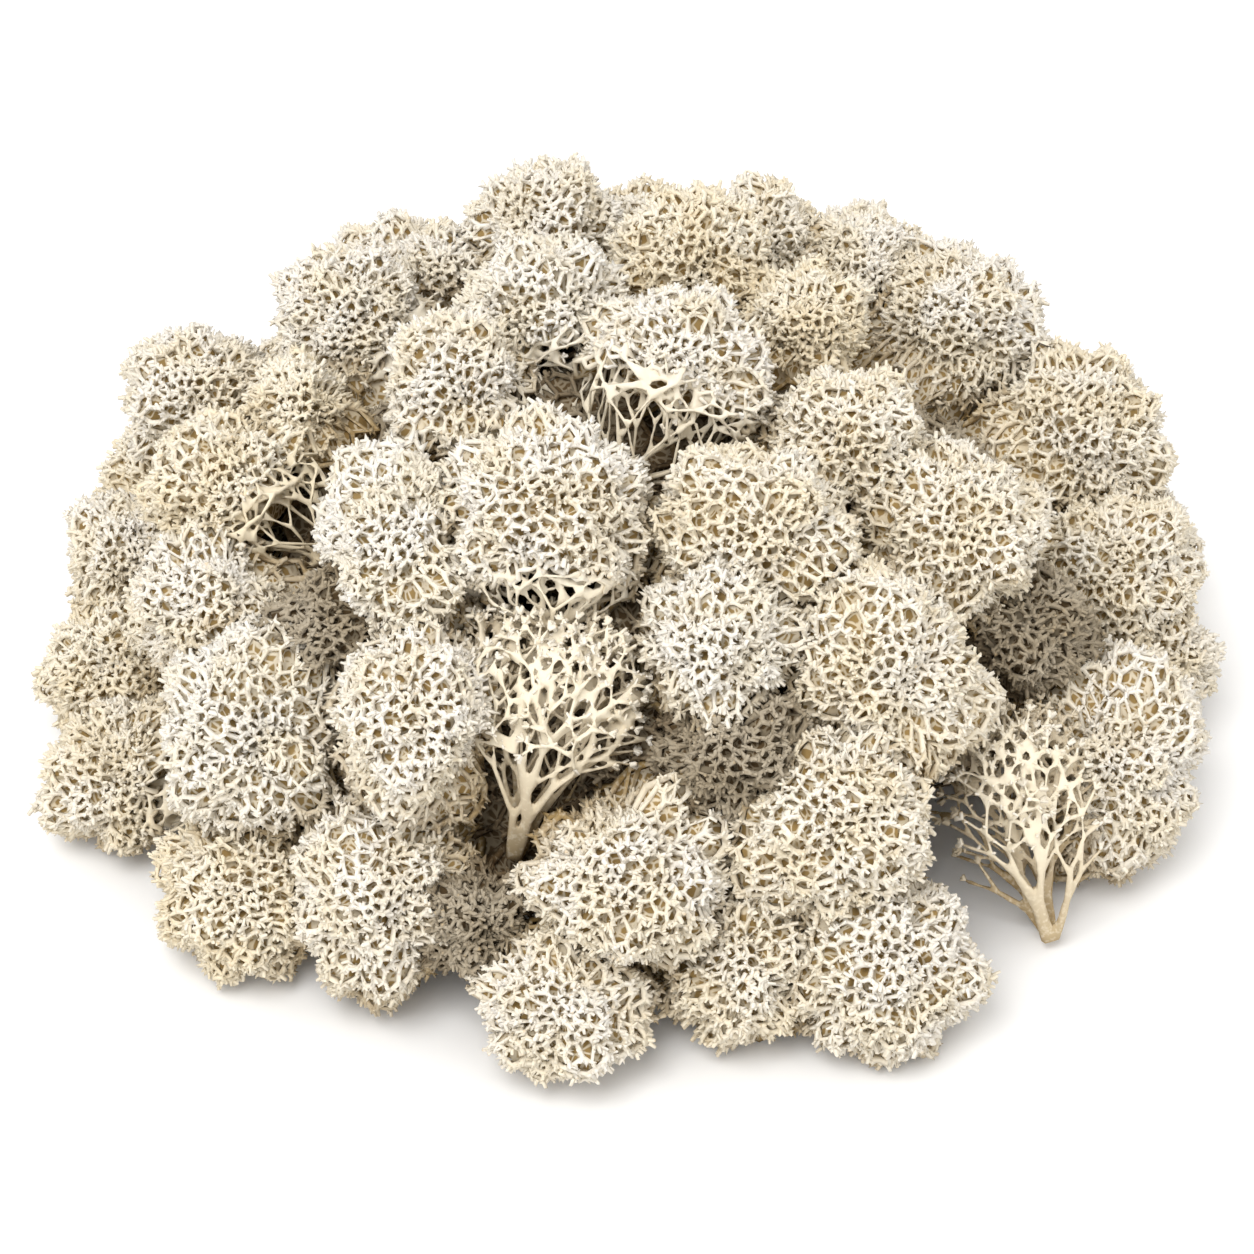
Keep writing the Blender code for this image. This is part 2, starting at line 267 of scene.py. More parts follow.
# the inner surfaces are deep brown between the threads, partly their own colour and partly painted
# shade
under = add_mix(tissue, thread, given["BrownAndShade"], given["AgedAndShade"])
inner = add_range(tissue, attribute.outputs["Alpha"], 0.0, 1.0, to_low=1.0, to_high=0.0)
final = add_mix(tissue, inner, tip_color, under)
tissue.links.new(final, tissue.nodes.new("NodeGroupOutput").inputs["Color"])
print("nodes with the threads:", len(tissue.nodes))

# %% [markdown]
# ## Five tints
# Neighbouring heads in the heap differ: chalk white, cream, straw yellow and cool grey. The fifth
# tint, for the dim heads in the gaps, is painted shade: the same tissue much darker, because those
# heads lie in shadow. One material with a chance for each head could vary them, but here each head
# takes the material slot that its solid has. The colours are in linear light.

# %% The tints
LICHEN_GLOSS = 0.15
TINTS = {
    "lichen_white": dict(Fresh=(0.835, 0.79, 0.715), AgedAndShade=(0.785, 0.70, 0.54),
                         BrownAndShade=(0.33, 0.22, 0.085), Stain=(0.60, 0.47, 0.30)),
    "lichen_cream": dict(Fresh=(0.835, 0.78, 0.68), AgedAndShade=(0.78, 0.685, 0.51),
                         BrownAndShade=(0.33, 0.22, 0.085), Stain=(0.60, 0.47, 0.30)),
    "lichen_straw": dict(Fresh=(0.83, 0.765, 0.64), AgedAndShade=(0.77, 0.665, 0.475),
                         BrownAndShade=(0.32, 0.21, 0.08), Stain=(0.55, 0.41, 0.24)),
    "lichen_grey": dict(Fresh=(0.83, 0.79, 0.72), AgedAndShade=(0.775, 0.70, 0.555),
                        BrownAndShade=(0.32, 0.22, 0.09), Stain=(0.56, 0.46, 0.32)),
    # painted shade: a darker copy of the tissue for heads that lie in shadow in the gaps
    "lichen_shade": dict(Fresh=(0.42, 0.36, 0.27), AgedAndShade=(0.32, 0.26, 0.175),
                         BrownAndShade=(0.11, 0.07, 0.032), Stain=(0.40, 0.30, 0.17)),
}


def make_lichen(name, colors):
    material = plain_material(name + "_tissue", colors["Fresh"], MATT)
    tree = material.node_tree
    surface = tree.nodes["Principled BSDF"]
    surface.inputs["Specular IOR Level"].default_value = LICHEN_GLOSS
    group = tree.nodes.new("ShaderNodeGroup")
    group.node_tree = tissue
    for socket in COLORS:
        group.inputs[socket].default_value = (*colors[socket], 1)
    tree.links.new(group.outputs["Color"], surface.inputs["Base Color"])
    return material


materials = {name: make_lichen(name, colors) for name, colors in TINTS.items()}
slot_of = {part["node"]: part["material_slot"] for part in frame["record"]["subparts"]}
print("tints:", ", ".join(materials))

# %% [markdown]
# ## What surrounds a head
# The heads press on each other, and most of their tissue is hidden. It could all be equally fine,
# but faces that nobody sees are wasted, so rays are sent out from points of a head. The share
# that leaves the heap says how open a point is. A ray that meets the inside of another solid says
# that it is buried, and the share that meets something close by says how crowded it is. One more
# ray says whether the side in the photograph shows it: there the tissue is finest.

# %% Rays through the heap
CLEAR = 1.6 * MM            # rays start this far outside the surface
BESIDE = 14 * MM            # what is closer than this is beside the point
FAR = 0.4                   # longer than the way through the heap
LEAST_OUTWARD = 0.15        # rays that point outwards less than this aren't sent
LEAST_RISE = -0.05          # rays that sink more than this bring no light
BURIED_SHARE = 0.4
LEAST_FACING = -0.15        # places turned away more than this aren't shown

Outlook = namedtuple("Outlook", "share buried shown beside")


def even_ways(count):
    """Directions spread evenly over a ball, along a spiral."""
    golden = math.pi * (3 - math.sqrt(5))
    ways = []
    for n in range(count):
        height = 1 - (2 * n + 1) / count
        ring = math.sqrt(1 - height * height)
        ways.append(Vector((ring * math.cos(golden * n), ring * math.sin(golden * n), height)))
    return ways


def joined_tree(objects):
    bm = bmesh.new()
    for node in objects:
        bm.from_mesh(node.data)
    bmesh.ops.remove_doubles(bm, verts=bm.verts, dist=1e-6)
    tree = BVHTree.FromBMesh(bm)
    bm.free()
    return tree


RAYS = even_ways(48)
heap = joined_tree(nodes.values())


def look_out(point, outward):
    """What a point of a head's surface has around it."""
    start = point + outward * CLEAR
    if start.z < 0:
        return Outlook(0.0, True, False, 0.0)
    free = 0
    inside = 0
    sent = 0
    beside = 0
    for way in RAYS:
        if way.dot(outward) < LEAST_OUTWARD:
            continue
        sent += 1
        hit, normal, _, distance = heap.ray_cast(start, way, FAR)
        if hit is None:
            free += way.z > LEAST_RISE
            continue
        inside += normal.dot(way) > 0
        beside += distance < BESIDE
    facing = outward.dot(to_camera) > LEAST_FACING
    shown = facing and heap.ray_cast(start, to_camera, FAR)[0] is None
    return Outlook(free / sent, inside > BURIED_SHARE * sent, shown, beside / sent)


heap_top = Vector((0, 0, cad_box[1][2]))
print("above the heap:", look_out(heap_top, Vector((0, 0, 1))))

# %% [markdown]
# ## Looks of the heads
# Most heads are closed crowns. A few turn their side to the camera and show the stems that carry
# the crown. Each of these has a foot, the direction in which its stems run together. It could be
# an angle on the ground, but it is read more easily from the photograph as it is seen there: to
# the right, up, and towards the camera.

# %% Looks
CELL = 3.0 * MM             # about the distance from hole to hole on an open crown
SCREEN_RIGHT = Vector((1, 0, 0))
SCREEN_UP = Vector((0, math.sin(CAMERA_RISE), math.cos(CAMERA_RISE)))


class Look:
    """The foot of a head, the angle from there to its crown's rim, how many radii from the
    middle the foot is, the size of its cells, and how far it grows out of its solid."""

    def __init__(self, foot=None, rim=1.2, stretch=1.0, cell=CELL, grow=0.0):
        self.foot = None
        if foot:
            right, up, forward = foot
            self.foot = (SCREEN_RIGHT * right + SCREEN_UP * up + to_camera * forward).normalized()
        self.rim = rim
        self.stretch = stretch
        self.cell = cell
        self.grow = grow


LOOKS = {
    "crown_tuft_front": Look(foot=(0.05, -1, 0.35), rim=0.75, stretch=1.05),
    "crown_tuft_middle": Look(foot=(-0.45, -1, 0.25), rim=1.3, stretch=1.45),
    "crown_tuft_back_left": Look(foot=(0.4, -0.95, 0.2), rim=1.1, stretch=1.4),
    "crown_tuft_left": Look(foot=(0.8, -0.7, 0.0), rim=0.9, stretch=1.2),
    "shoulder_tuft_back_left": Look(foot=(0.8, -0.6, 0.0), rim=0.9, stretch=1.2),
    "flank_tuft_left_high": Look(foot=(0.9, -0.6, 0.2), rim=1.1, stretch=1.35),
    "foot_tuft_far_left": Look(foot=(1, 0.0, 0.15), rim=1.0, stretch=1.25),
}
INNER_LOOK = Look(cell=4.2 * MM, grow=7 * MM)
CLOSED_LOOK = Look()


def look_of(name):
    if name.startswith("inner_"):
        return INNER_LOOK
    return LOOKS.get(name, CLOSED_LOOK)


print("heads that show their stems:", len(LOOKS))

# %% [markdown]
# ## The skin of a head
# A head's solid is a ball of facets whose peaks stand where real clusters of tips end. Its skin
# could be a plain ball, but then it would lose the solid's form. So it is the surface through
# those peaks, which are the points where only three edges meet, and through the points that no
# peak stands beside. They are laid on a unit ball, joined there by a convex hull, and moved back
# out, which joins neighbours in every direction round the middle without any table of faces.


# %% Scattered directions
def any_way(draw):
    return Vector((draw.gauss(0, 1), draw.gauss(0, 1), draw.gauss(0, 1))).normalized()


def scatter(draw, gap_at, tries):
    """Random directions, each at least gap_at(way) from the others."""
    chosen = np.empty((0, 3))
    for _ in range(tries):
        way = any_way(draw)
        gap = gap_at(way)
        if len(chosen) and ((chosen - np.array(way)) ** 2).sum(axis=1).min() < gap * gap:
            continue
        chosen = np.vstack([chosen, np.array(way)])
    return [Vector(way) for way in chosen]


def tree_of(ways):
    tree = kdtree.KDTree(len(ways))
    for n, way in enumerate(ways):
        tree.insert(way, n)
    tree.balance()
    return tree


def smooth_step(value, low, high):
    t = min(1.0, max(0.0, (value - low) / (high - low)))
    return t * t * (3 - 2 * t)


print("directions half a radius apart:", len(scatter(random.Random(1), lambda way: 0.5, 300)))


# %% Skin through the peaks
def hull_tree(places, middle):
    bm = bmesh.new()
    for place in places:
        bm.verts.new((place - middle).normalized())
    real = dict(zip(bm.verts, places))
    bmesh.ops.convex_hull(bm, input=bm.verts)
    for v, place in real.items():
        if v.is_valid:
            v.co = place
    tree = BVHTree.FromBMesh(bm)
    bm.free()
    return tree


def middle_and_peaks(node):
    """The middle of a solid, and the places that its skin goes through."""
    bm = bmesh.new()
    bm.from_mesh(node.data)
    bmesh.ops.remove_doubles(bm, verts=bm.verts, dist=1e-6)
    peaks = [v for v in bm.verts if len(v.link_edges) == 3]
    near_peak = {e.other_vert(v) for v in peaks for e in v.link_edges}
    base = [v for v in bm.verts if v not in peaks]
    middle = sum((v.co for v in base), Vector()) / len(base)
    places = [v.co.copy() for v in peaks + [v for v in base if v not in near_peak]]
    bm.free()
    return middle, places


print("places on one skin:", len(middle_and_peaks(nodes["crown_tuft_middle"])[1]))

# %% [markdown]
# ## The form of a head
# A real head isn't smooth: small lumps, the florets, stand side by side with grooves between
# them, as on a cauliflower. A displacement texture could raise them, but its lumps would have no
# clear edge. Here florets are scattered over the head, and the groove deepens with the distance
# to the nearest one. Beside its neighbours a head grows a little, which closes the seam.

# %% One head's form
FLORET = 11.0 * MM
FLORET_DEPTH = 3.5 * MM     # depth of the grooves between florets
FLORET_SCATTER = 1.5 * MM   # how much one floret stands out more than another
FLORET_GAP = 0.8            # least distance of two florets, as a share of their size
FLORET_EDGE = 0.62          # distance at which the groove is deepest, as a share of their size
FLORET_TRIES = 400
SEAM_GROWTH = 2.7 * MM      # how far a head grows where others are close beside it
BLUR = 0.12                 # how far apart the rays are that smooth the facets' edges
NEAREST = 3                 # views that are taken together

VIEW_WAYS = even_ways(160)
VIEW_TREE = tree_of(VIEW_WAYS)


class Head:
    """The form of one head: how far its surface is from its middle, and how open it is there."""

    def __init__(self, node, look, draw):
        self.middle, places = middle_and_peaks(node)
        self.tree = hull_tree(places, self.middle)
        self.radius = sum((place - self.middle).length for place in places) / len(places)
        self.look = look
        florets = scatter(draw, lambda way: FLORET_GAP * FLORET / self.radius, FLORET_TRIES)
        self.floret_tree = tree_of(florets)
        self.heights = [draw.uniform(-1, 1) * FLORET_SCATTER for _ in florets]
        self.views = [look_out(self.middle + way * self.reach(way), way) for way in VIEW_WAYS]

    def near_views(self, way):
        return [self.views[n] for _, n, _ in VIEW_TREE.find_n(way, NEAREST)]

    def reach(self, way):
        hit = self.tree.ray_cast(self.middle, way, 1.0)
        distance = hit[3] if hit[0] is not None else self.radius * 0.8
        return distance + self.look.grow

    def surface(self, way):
        """The reach without the edges of the facets, less the groove beside a floret."""
        side = way.orthogonal().normalized() * BLUR
        across = way.cross(side)
        near = [way, way + side, way - side, way + across, way - across]
        smooth = sum(self.reach(w.normalized()) for w in near) / len(near)
        _, floret, gap = self.floret_tree.find(way)
        groove = FLORET_DEPTH * min(1.0, (gap * self.radius / (FLORET_EDGE * FLORET)) ** 2)
        beside = sum(view.beside for view in self.near_views(way)) / NEAREST
        growth = SEAM_GROWTH * smooth_step(beside, 0.1, 0.6)
        return smooth - groove + self.heights[floret] + growth

    def view(self, way):
        """Openness, buried and shown in this direction."""
        near = self.near_views(way)
        buried = all(view.buried for view in near)
        shown = any(view.shown for view in near)
        return 0.0 if buried else sum(view.share for view in near) / NEAREST, buried, shown

    def on_stems(self, way):
        """Whether this direction is on the side where the stems run together."""
        return self.look.foot is not None and way.angle(self.look.foot) < self.look.rim


sample = Head(nodes["crown_tuft_middle"], CLOSED_LOOK, random.Random(1))
print("radius of one head in mm:", round(sample.radius / MM, 1))

# %% [markdown]
# ## A net of cells
# The tissue of a crown is a net: round holes of two or three millimetres between forking strands.
# Such a net could be carved with booleans, which are slow, but it is also the dual of a triangle
# mesh, where each point becomes a hole and each triangle a fork of three strands. Points are
# scattered over a ball with a least distance, a convex hull joins them, poking the triangles adds
# the forks, and turning the old edges joins fork to fork.


# %% Dual net
def dual_net(ways):
    bm = bmesh.new()
    for way in ways:
        bm.verts.new(way)
    bmesh.ops.convex_hull(bm, input=bm.verts)
    points = list(bm.verts)
    edges = list(bm.edges)
    bmesh.ops.poke(bm, faces=bm.faces[:])
    bmesh.ops.rotate_edges(bm, edges=edges, use_ccw=False)
    bmesh.ops.dissolve_verts(bm, verts=points)
    return bm


small_net = dual_net(even_ways(40))
print("holes and forks of a small net:", len(small_net.faces), len(small_net.verts))
small_net.free()

# %% The net of one head
NET_DEPTH = 0.2 * MM        # from the head's surface down to the net
NET_RIPPLE = (-1.1, 0.9)    # how far, in mm, a fork lies below or above the others
NET_TRIES = 5000
HIDDEN_CELL = 8.0 * MM      # from hole to hole where nearly nothing can be seen
LEAST_CELL = 0.72           # the smallest cell as a share of the usual one
CELL_SPREAD = 0.6           # what the largest cell has more than the smallest
EDGE_CELL = 1.13            # cells that the camera sees from the side
FACING_GAIN = 0.25          # how much smaller cells are that face the camera
UNSHOWN_CELL = 1.5          # cells that the photograph's side doesn't show
PACKING = 0.86              # least distance of two holes' middles, in cells
OPEN = 0.12                 # openness from which tissue has its full detail
DARK = 0.02                 # openness below which there is no net


def make_net(head, draw):
    def gap_at(way):
        share, _, shown = head.view(way)
        size = head.look.cell * (LEAST_CELL + CELL_SPREAD * draw.random() ** 1.5)
        if shown:
            size *= EDGE_CELL - FACING_GAIN * max(0.0, way.dot(to_camera))
        else:
            size *= UNSHOWN_CELL
        size += (HIDDEN_CELL - size) * (1 - smooth_step(share, 0.0, OPEN))
        return PACKING * size / head.radius

    bm = dual_net(scatter(draw, gap_at, NET_TRIES))
    info = bm.verts.layers.float_vector.new("info")
    for v in bm.verts:
        way = v.co.normalized()
        share, buried, shown = head.view(way)
        length = head.surface(way) - NET_DEPTH + draw.uniform(*NET_RIPPLE) * MM
        v.co = head.middle + way * length
        unseen = buried or share < DARK or head.on_stems(way)
        v[info] = (share, unseen, shown)
    unseen_faces = [f for f in bm.faces if all(v[info][1] > 0.5 for v in f.verts)]
    bmesh.ops.delete(bm, geom=unseen_faces, context="FACES")
    bmesh.ops.delete(bm, geom=[v for v in bm.verts if not v.link_faces], context="VERTS")
    return bm, info


trial_net, _ = make_net(sample, random.Random(1))
print("holes in the net of one head:", len(trial_net.faces))
trial_net.free()

# %% [markdown]
# ## Strands
# Each edge of the net is a strand of tissue, a millimetre or more thick, and thicker at some forks
# than at others. A curve with a bevel could follow each edge, but its ends would stay open at the
# forks. The Wireframe operator makes all edges into one closed body, and each fork then gets its
# own thickness by moving its corners towards its middle or away from it.

# %% Strands of one head
STRAND = 0.58 * MM          # half thickness of a strand
STRAND_SPREAD = (0.8, 1.3)
UNSHOWN_STRAND = 1.25       # strands that the photograph's side doesn't show
# painted shade: strands get less openness than their tips, so they are painted darker
STRAND_OPENNESS = 0.85      # strands lie deeper than the tips on them


def block_of(bm, openness, aging=0.0):
    """A mesh as arrays: places, triangles and tissue values."""
    bmesh.ops.triangulate(bm, faces=bm.faces[:])
    bm.verts.index_update()
    places = np.array([v.co[:] for v in bm.verts])
    faces = np.array([[v.index for v in f.verts] for f in bm.faces])
    values = np.zeros((len(places), 4))
    values[:, 0] = openness
    values[:, 1] = aging
    values[:, 3] = 1
    bm.free()
    return places, faces, values


def make_strands(bm, info, draw):
    source = bm.verts.layers.int.new("source")
    bm.verts.index_update()
    homes = []
    halves = []
    for v in bm.verts:
        v[source] = v.index
        homes.append(v.co.copy())
        thick = UNSHOWN_STRAND - (UNSHOWN_STRAND - 1) * v[info][2]
        halves.append(STRAND * draw.uniform(*STRAND_SPREAD) * thick)
    bmesh.ops.wireframe(bm, faces=bm.faces[:], thickness=2 * MM, offset=0.0, use_replace=True,
                        use_boundary=True, use_even_offset=False, use_crease=False,
                        crease_weight=0, use_relative_offset=False, material_offset=0)
    for v in bm.verts:
        home = homes[v[source]]
        v.co = home + (v.co - home) * (halves[v[source]] / MM)
    return block_of(bm, [STRAND_OPENNESS * v[info][0] for v in bm.verts])


print("strands in mm:", [round(2 * STRAND * share / MM, 2) for share in STRAND_SPREAD])

# %% [markdown]
# ## Tips
# The strands carry short fingers, about a millimetre long. Each could be made by an operator call
# of its own, but there are tens of thousands of them, and that would be slow. So two three-sided
# cones are made once: a blunt one for the side that the photograph shows, and a pointed one,
# which has fewer faces, for the rest and between the blunt ones. Their corners are then stamped
# at every root in one go.

# %% Two patterns for tips
TIP_LENGTH = 1.3 * MM
TIP_FOOT_RADIUS = 0.44 * MM
TIP_END_RADIUS = 0.33 * MM


def tip_pattern(end_radius):
    """A three-sided finger of unit length without the face that its strand hides."""
    bm = bmesh.new()
    bmesh.ops.create_cone(bm, segments=3, radius1=TIP_FOOT_RADIUS, radius2=end_radius,
                          depth=1.0, cap_ends=True)
    bmesh.ops.translate(bm, verts=bm.verts, vec=(0, 0, 0.5))
    foot_cap = [f for f in bm.faces if f.normal.z < -0.5]
    bmesh.ops.delete(bm, geom=foot_cap, context="FACES_ONLY")
    places, faces, _ = block_of(bm, 1)
    return places, faces


BLUNT = tip_pattern(TIP_END_RADIUS)
POINTED = tip_pattern(0.0)
print("triangles of a blunt and of a pointed tip:", len(BLUNT[1]), len(POINTED[1]))

# %% Stamping the tips
FLOOR_GAP = 0.2 * MM        # no tip ends lower than this


class Tips:
    """Tips gathered one by one, and stamped together at the end."""

    def __init__(self, draw, pattern=BLUNT):
        self.draw = draw
        self.pattern = pattern
        self.rows = []

    def add(self, root, way, length, openness):
        if (root + way * length).z < FLOOR_GAP:
            return
        self.rows.append((*root, *way, length, openness, self.draw.random(),
                          self.draw.uniform(0, math.tau)))

    def block(self):
        tip_places, tip_faces = self.pattern
        rows = np.array(self.rows)
        root, axis = rows[:, 0:3], rows[:, 3:6]
        length, openness, chance, roll = rows[:, 6:7], rows[:, 7:8], rows[:, 8:9], rows[:, 9:10]
        helper = np.where(np.abs(axis[:, 2:]) < 0.9, [[0, 0, 1.0]], [[1.0, 0, 0]])
        side = np.cross(axis, helper)
        side /= np.linalg.norm(side, axis=1)[:, None]
        x = np.cos(roll) * side + np.sin(roll) * np.cross(axis, side)
        y = np.cross(axis, x)
        px, py, pz = (tip_places[:, n][None, :, None] for n in range(3))
        thick = ((0.8 + 0.4 * chance) * length / TIP_LENGTH)[:, :, None]
        places = (root[:, None] + thick * px * x[:, None] + thick * py * y[:, None]
                  + pz * length[:, :, None] * axis[:, None])
        corners = len(tip_places)
        faces = tip_faces[None] + (np.arange(len(rows)) * corners)[:, None, None]
        values = np.zeros((len(rows), corners, 4))
        values[:, :, 0] = openness
        values[:, :, 2] = chance * (tip_places[:, 2] > 0.5)[None]
        values[:, :, 3] = 1
        return places.reshape(-1, 3), faces.reshape(-1, 3), values.reshape(-1, 4)


stamp = Tips(random.Random(1))
stamp.add(heap_top, SCREEN_UP, TIP_LENGTH, 1.0)
print("corners of one stamped tip:", len(stamp.block()[0]))

# %% Growing the tips on a net
TIP_SPLAY = (0.6, 1.5)      # how far chance turns a tip away from straight outwards
TIP_SPREAD = (0.75, 1.25)   # the shortest and the longest tip, in usual lengths
UNSHOWN_TIP = 1.5           # longer tips where the net is coarser
TIP_RISE = 0.3              # mm from the middle of a strand up to a tip's root
FORK_DARK = 0.03            # openness below which a fork has no tips
STRAND_DARK = 0.04          # the same between two forks
SECOND_TIP = 0.6            # chance of one more tip between two forks


def grow_tips(bm, info, head, draw):
    blunt = Tips(draw)
    pointed = Tips(draw, POINTED)

    def grow(tips, place, share, shown):
        outward = (place - head.middle).normalized()
        way = (outward + any_way(draw) * draw.uniform(*TIP_SPLAY)).normalized()
        length = TIP_LENGTH * draw.uniform(*TIP_SPREAD) * (1.0 if shown else UNSHOWN_TIP)
        tips.add(place + outward * TIP_RISE * MM, way, length, share)

    def between(a, b):
        return a.co.lerp(b.co, draw.uniform(0.2, 0.8))

    for v in bm.verts:
        share, unseen, shown = v[info]
        if unseen < 0.5 and share > FORK_DARK:
            fine = shown > 0.5 and share > OPEN
            grow(blunt if fine else pointed, v.co, share, shown > 0.5)
            grow(pointed, v.co, share, shown > 0.5)
    for e in bm.edges:
        a, b = e.verts
        share = (a[info][0] + b[info][0]) / 2
        if max(a[info][1], b[info][1]) > 0.5 or share < STRAND_DARK:
            continue
        shown = min(a[info][2], b[info][2]) > 0.5
        grow(pointed, between(a, b), share, shown)
        if shown and share > OPEN and draw.random() < SECOND_TIP:
            grow(blunt, between(a, b), share, shown)
    return [tips.block() for tips in (blunt, pointed) if tips.rows]


print("tips in mm:", [round(TIP_LENGTH * share / MM, 2) for share in TIP_SPREAD])

# %% [markdown]
# ## Cups under the net
# Behind the net lies the tangle of older strands, of which a photograph shows only brown depth.
# A second and a third net could fill it, at two or three times the faces. The faces of the net
# stand for it instead: a copy of them is moved inwards, and each is poked to a cup. The material
# draws the finer threads on them.

# %% Cups
CUP_RIM = 0.9 * MM
CUP_DEPTH = 2.0 * MM


def inner_block(bm):
    """A mesh as arrays, marked as an inner surface."""
    places, faces, values = block_of(bm, 0.0)
    values[:, 3] = 0
    return places, faces, values


def make_cups(net, head):
    bm = net.copy()
    for v in bm.verts:
        v.co -= (v.co - head.middle).normalized() * CUP_RIM
    bottoms = bmesh.ops.poke(bm, faces=bm.faces[:])["verts"]
    for v in bottoms:
        v.co -= (v.co - head.middle).normalized() * CUP_DEPTH
    return inner_block(bm)


print("bottom of a cup below the net in mm:", round((CUP_RIM + CUP_DEPTH) / MM, 1))

# %% [markdown]
# ## The dim inner body
# Where a net ends, towards its neighbours and behind its stems, one could look through the head.
# The solid itself could close it, but it would fill the grooves. So each head has a small body
# of its own well below the net, drawn in on the side of its stems.

# %% Inner body of one head
CORE_DEPTH = 4.6 * MM       # from the net down to the inner body
CORE_SPREAD = (0.75, 1.25)
LEAST_CORE = 0.3            # least radius, as a share of the head's
DRAWN_IN = 0.5              # radius on the side of the stems, as a share of the usual one


def make_core(head, draw):
    bm = bmesh.new()
    bmesh.ops.create_icosphere(bm, subdivisions=1, radius=1.0)
    for v in bm.verts:
        way = v.co.normalized()
        depth = CORE_DEPTH * draw.uniform(*CORE_SPREAD)
        length = head.surface(way) - NET_DEPTH - depth
        if head.look.foot:
            turned = smooth_step(way.angle(head.look.foot), 0.4, head.look.rim + 0.2)
            length *= DRAWN_IN + (1 - DRAWN_IN) * turned
        v.co = head.middle + way * max(length, LEAST_CORE * head.radius)
    return inner_block(bm)


print("triangles of an inner body:", len(make_core(sample, random.Random(1))[1]))

# %% [markdown]
# ## Fronds
# Two heads lie on their side and show how the lichen really grows: a few stems rise from a foot,
# fork again and again, and grow together again where they touch, which leaves long oval holes.
# The stems of the open heads grow by the same rule. They could be drawn by hand, limb by limb,
# but a rule with a seed gives hundreds of limbs that all differ. A frond is first grown in a flat
# drawing, and then laid on a curved sheet.

# %% A frond's drawing
JOIN = 1.9 * MM             # a limb that ends closer than this to a joint grows into it
LEAST_LIMB = 0.42 * MM
STEM_GAP = 0.09             # mm between two stems' feet, for each degree between them
TAPER = 0.86                # a limb's end, and the next limb's length, as a share
CHILD = 0.84                # thickness of a limb after a fork, as a share
LAST_LEVEL = 8
FORK = (13, 22)             # half the angle of a fork in degrees
FORK_GROWTH = 2.2           # how many degrees each fork adds to that
TWIG_CHANCE = 0.3
TWIG_ANGLE = (35, 70)
TWIG_OUT = Vector((0, 0, 1.2 * MM))


def draw_frond(stems, stem_radius, step, inside, layer, draw):
    """Limbs as a start, an end (across, up, out) and two radii, and the ends of the frond."""
    joints = []
    limbs = []
    ends = []
    waiting = []
    for stem in stems:
        heading = math.radians(stem + draw.uniform(-3, 3))
        waiting.append((Vector((stem * STEM_GAP * MM, 0, layer)), heading, stem_radius, 0))
    while waiting:
        start, heading, radius, level = waiting.pop(0)
        heading += draw.gauss(0, math.radians(6))
        length = step * TAPER ** level * draw.uniform(0.75, 1.2)
        end = start + Vector((math.sin(heading) * length, math.cos(heading) * length,
                              draw.uniform(-0.6, 0.7) * MM))
        thin = max(LEAST_LIMB, radius * TAPER)
        close = [joint for joint in joints if (joint - end).length < JOIN]
        if close and level > 1:
            limbs.append((start, close[0], radius, thin))
            continue
        limbs.append((start, end, radius, thin))
        joints.append(end)
        if not inside(end) or level >= LAST_LEVEL:
            ends.append((end, heading))
            continue
        fork = math.radians(draw.uniform(*FORK) + FORK_GROWTH * level)
        child = max(LEAST_LIMB, thin * CHILD)
        waiting.append((end, heading - fork, child, level + 1))
        waiting.append((end, heading + fork, child, level + 1))
        if draw.random() < TWIG_CHANCE and level > 1:
            side = draw.choice((-1, 1)) * math.radians(draw.uniform(*TWIG_ANGLE))
            waiting.append((end + TWIG_OUT, heading + side, LEAST_LIMB, level + 3))
    return limbs, ends


def in_trial_circle(spot):
    return spot.length < 30 * MM


trial_limbs, trial_ends = draw_frond((0,), MM, 8 * MM, in_trial_circle, 0, random.Random(1))
print("limbs and ends from one stem:", len(trial_limbs), len(trial_ends))

# %% [markdown]
# ## From limbs to one skin
# Where a real stem forks, a rounded web fills the angle. The Skin modifier makes limbs too, but
# it tangles where many meet. So limbs are cones with a ball at each joint, and a voxel remesh
# melts them into one skin, which rounds each fork. Decimate then takes out the faces that the
# smooth stretches don't need.

# %% Melting limbs together
FROND_VOXEL = 0.45 * MM
KEPT_FACES = 0.15
BALL = 1.08                 # a joint's ball is a little thicker than its limb
LEAST_LENGTH = 0.3 * MM     # shorter limbs are left out


def add_limb(bm, start, end, start_radius, end_radius):
    way = end - start
    turn = way.to_track_quat("Z", "Y").to_matrix().to_4x4()
    bmesh.ops.create_cone(bm, segments=8, radius1=start_radius, radius2=end_radius,
                          depth=way.length, cap_ends=True,
                          matrix=Matrix.Translation((start + end) / 2) @ turn)
    bmesh.ops.create_icosphere(bm, subdivisions=1, radius=end_radius * BALL,
                               matrix=Matrix.Translation(end))


def melted(bm):
    """The blended surface of everything in bm, as a new bmesh."""
    mesh = bpy.data.meshes.new("melting")
    bm.to_mesh(mesh)
    bm.free()
    holder = bpy.data.objects.new("melting", mesh)
    bpy.context.scene.collection.objects.link(holder)
    melt = holder.modifiers.new("melt", "REMESH")
    melt.mode = "VOXEL"
    melt.voxel_size = FROND_VOXEL
    thin_out = holder.modifiers.new("thin_out", "DECIMATE")
    thin_out.ratio = KEPT_FACES
    smooth = holder.modifiers.new("smooth", "SMOOTH")
    smooth.factor = 0.5
    smooth.iterations = 1
    done = holder.evaluated_get(bpy.context.evaluated_depsgraph_get()).to_mesh()
    result = bmesh.new()
    result.from_mesh(done)
    bpy.data.objects.remove(holder)
    bpy.data.meshes.remove(mesh)
    return result


